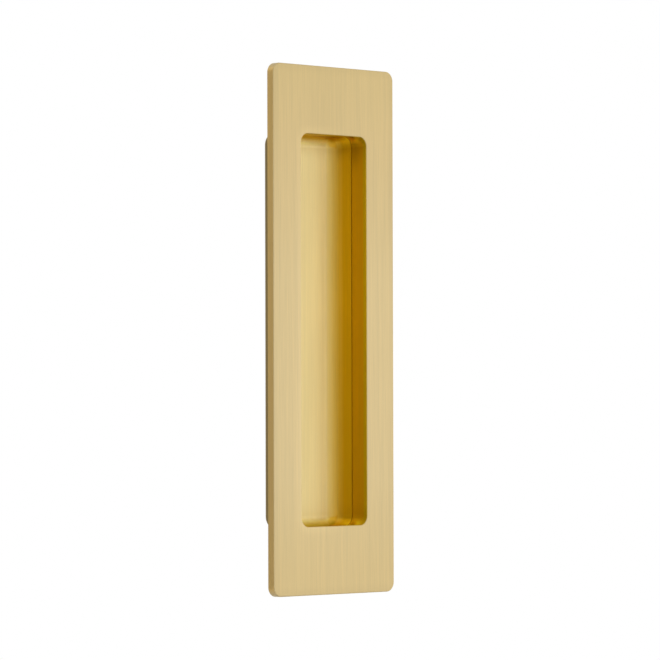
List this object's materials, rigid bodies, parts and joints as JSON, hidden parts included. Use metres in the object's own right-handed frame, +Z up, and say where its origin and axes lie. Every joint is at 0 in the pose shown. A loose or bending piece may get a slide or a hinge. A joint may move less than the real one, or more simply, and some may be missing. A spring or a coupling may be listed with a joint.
{
  "type": "pocket door pull",
  "caption": "Rectangular flush pull for a sliding pocket door: satin brass faceplate over a deep rounded finger cup that is screwed into the door.",
  "frame": {"origin": "middle of the pull in the plane of the door's face, on which both the faceplate's back rim and the cup's flange lie", "axes": "+Z up along the pull's length, +Y into the door, +X to the right as seen by the person who faces the pull"},
  "size_m": [0.0572, 0.0185, 0.1778],
  "materials": {
    "faceplate_brass": "satin, brushed along its height",
    "cup_brass": "satin",
    "screw_brass": "plain turned"
  },
  "bodies": {
    "root": {"faceplate": "faceplate_brass", "recess_cup": "cup_brass", "fixing_screw_upper": "screw_brass", "fixing_screw_lower": "screw_brass"}
  },
  "joints": []
}
